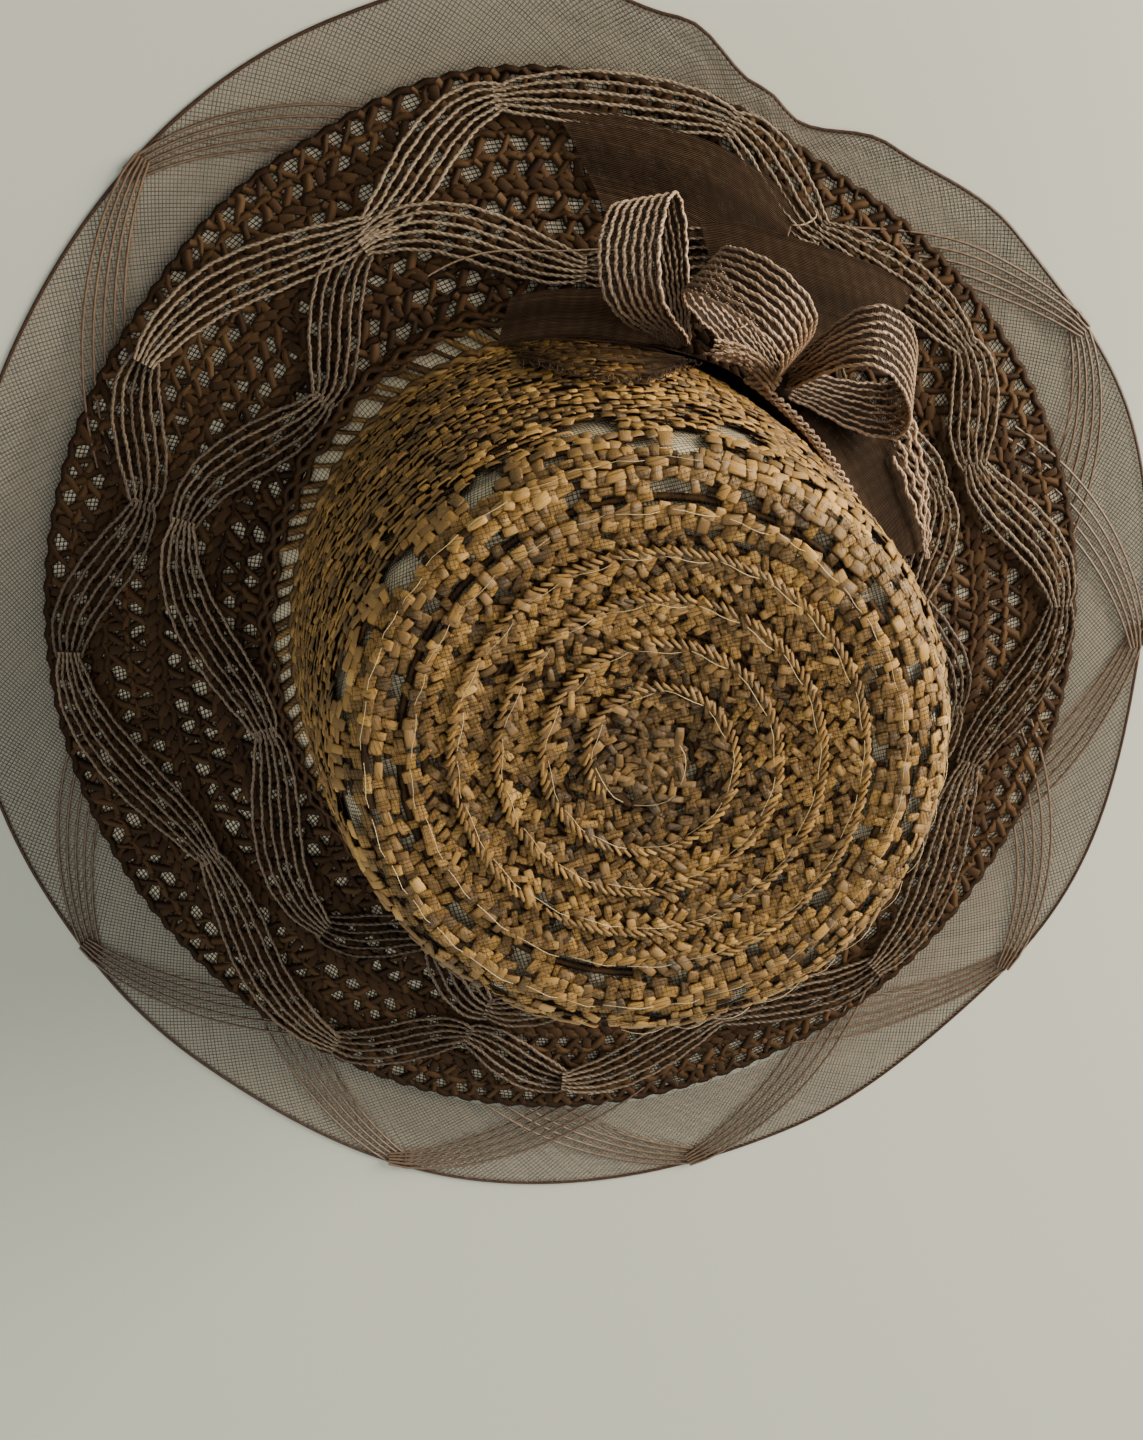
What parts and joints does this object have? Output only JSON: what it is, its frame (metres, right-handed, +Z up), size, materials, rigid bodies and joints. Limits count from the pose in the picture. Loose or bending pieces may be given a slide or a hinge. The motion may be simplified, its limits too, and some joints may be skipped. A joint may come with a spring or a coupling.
{
  "type": "sun hat",
  "caption": "Openwork straw sun hat with a golden crown, a dark lace-straw brim, a sheer crin border, zigzag crin swags and a looped crin bow.",
  "frame": {"origin": "on the floor under the centre of the head opening", "axes": "+Z up through the crown, -Y the wearer's front, +X the wearer's left, where the bow sits"},
  "size_m": [0.3925, 0.4063, 0.126],
  "materials": {
    "golden_straw": "glossy plaited straw, golden",
    "pale_crin_net": "fine grey horsehair net",
    "dark_lace_straw": "dark brown lace straw",
    "sheer_crin": "sheer grey-brown crin net",
    "taupe_ribs": "twisted taupe cords on crin",
    "brown_crin": "dark brown crin net"
  },
  "bodies": {
    "root": {"crown": "golden_straw", "crown_lining": "pale_crin_net", "brim": "dark_lace_straw", "brim_veil": "sheer_crin", "outer_swag": "taupe_ribs", "inner_swag": "taupe_ribs", "crown_band": "brown_crin", "bow_knot": "brown_crin", "bow_loop_right": "taupe_ribs", "bow_loop_middle": "taupe_ribs", "bow_loop_left": "taupe_ribs", "bow_tail": "taupe_ribs"}
  },
  "joints": []
}
